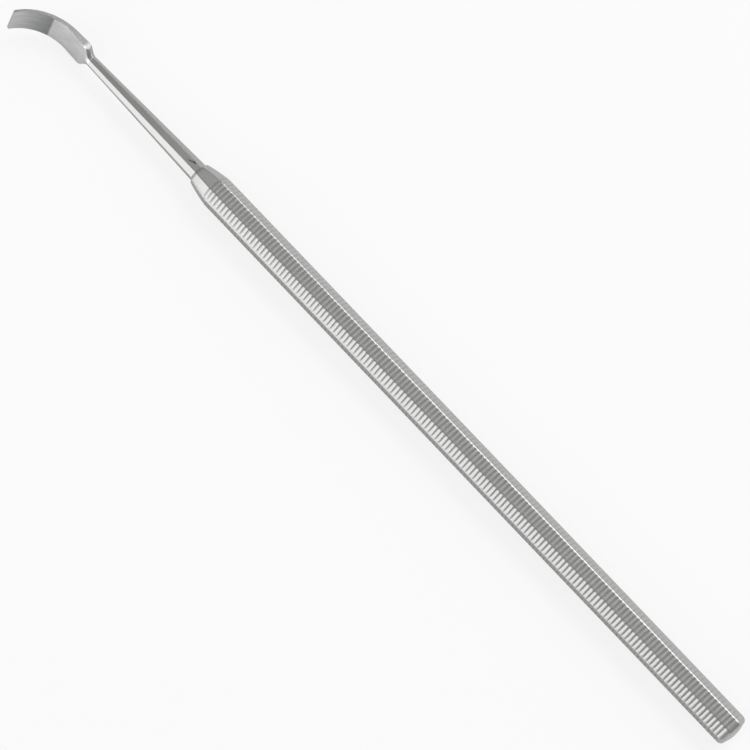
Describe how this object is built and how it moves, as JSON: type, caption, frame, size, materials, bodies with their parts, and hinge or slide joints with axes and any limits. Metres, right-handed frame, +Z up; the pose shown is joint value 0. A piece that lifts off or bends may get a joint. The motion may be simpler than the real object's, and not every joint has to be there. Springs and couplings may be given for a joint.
{
  "type": "dental scaler",
  "caption": "Hand instrument of one steel bar: a grooved eight-sided handle, a slim tapering shank and a flat hooked blade that scrapes hard deposits off teeth.",
  "frame": {"origin": "on the surface that the handle rests on, under the middle land of the grip", "axes": "+X along the handle from the butt to the hooked blade, +Y to the side that the hook turns to, +Z up from the flat that the handle rests on"},
  "size_m": [0.182, 0.0101, 0.0079],
  "materials": {
    "steel": "satin stainless steel, polished on the shank and finely ground on the blade"
  },
  "bodies": {
    "root": {"scaler": "steel"}
  },
  "joints": []
}
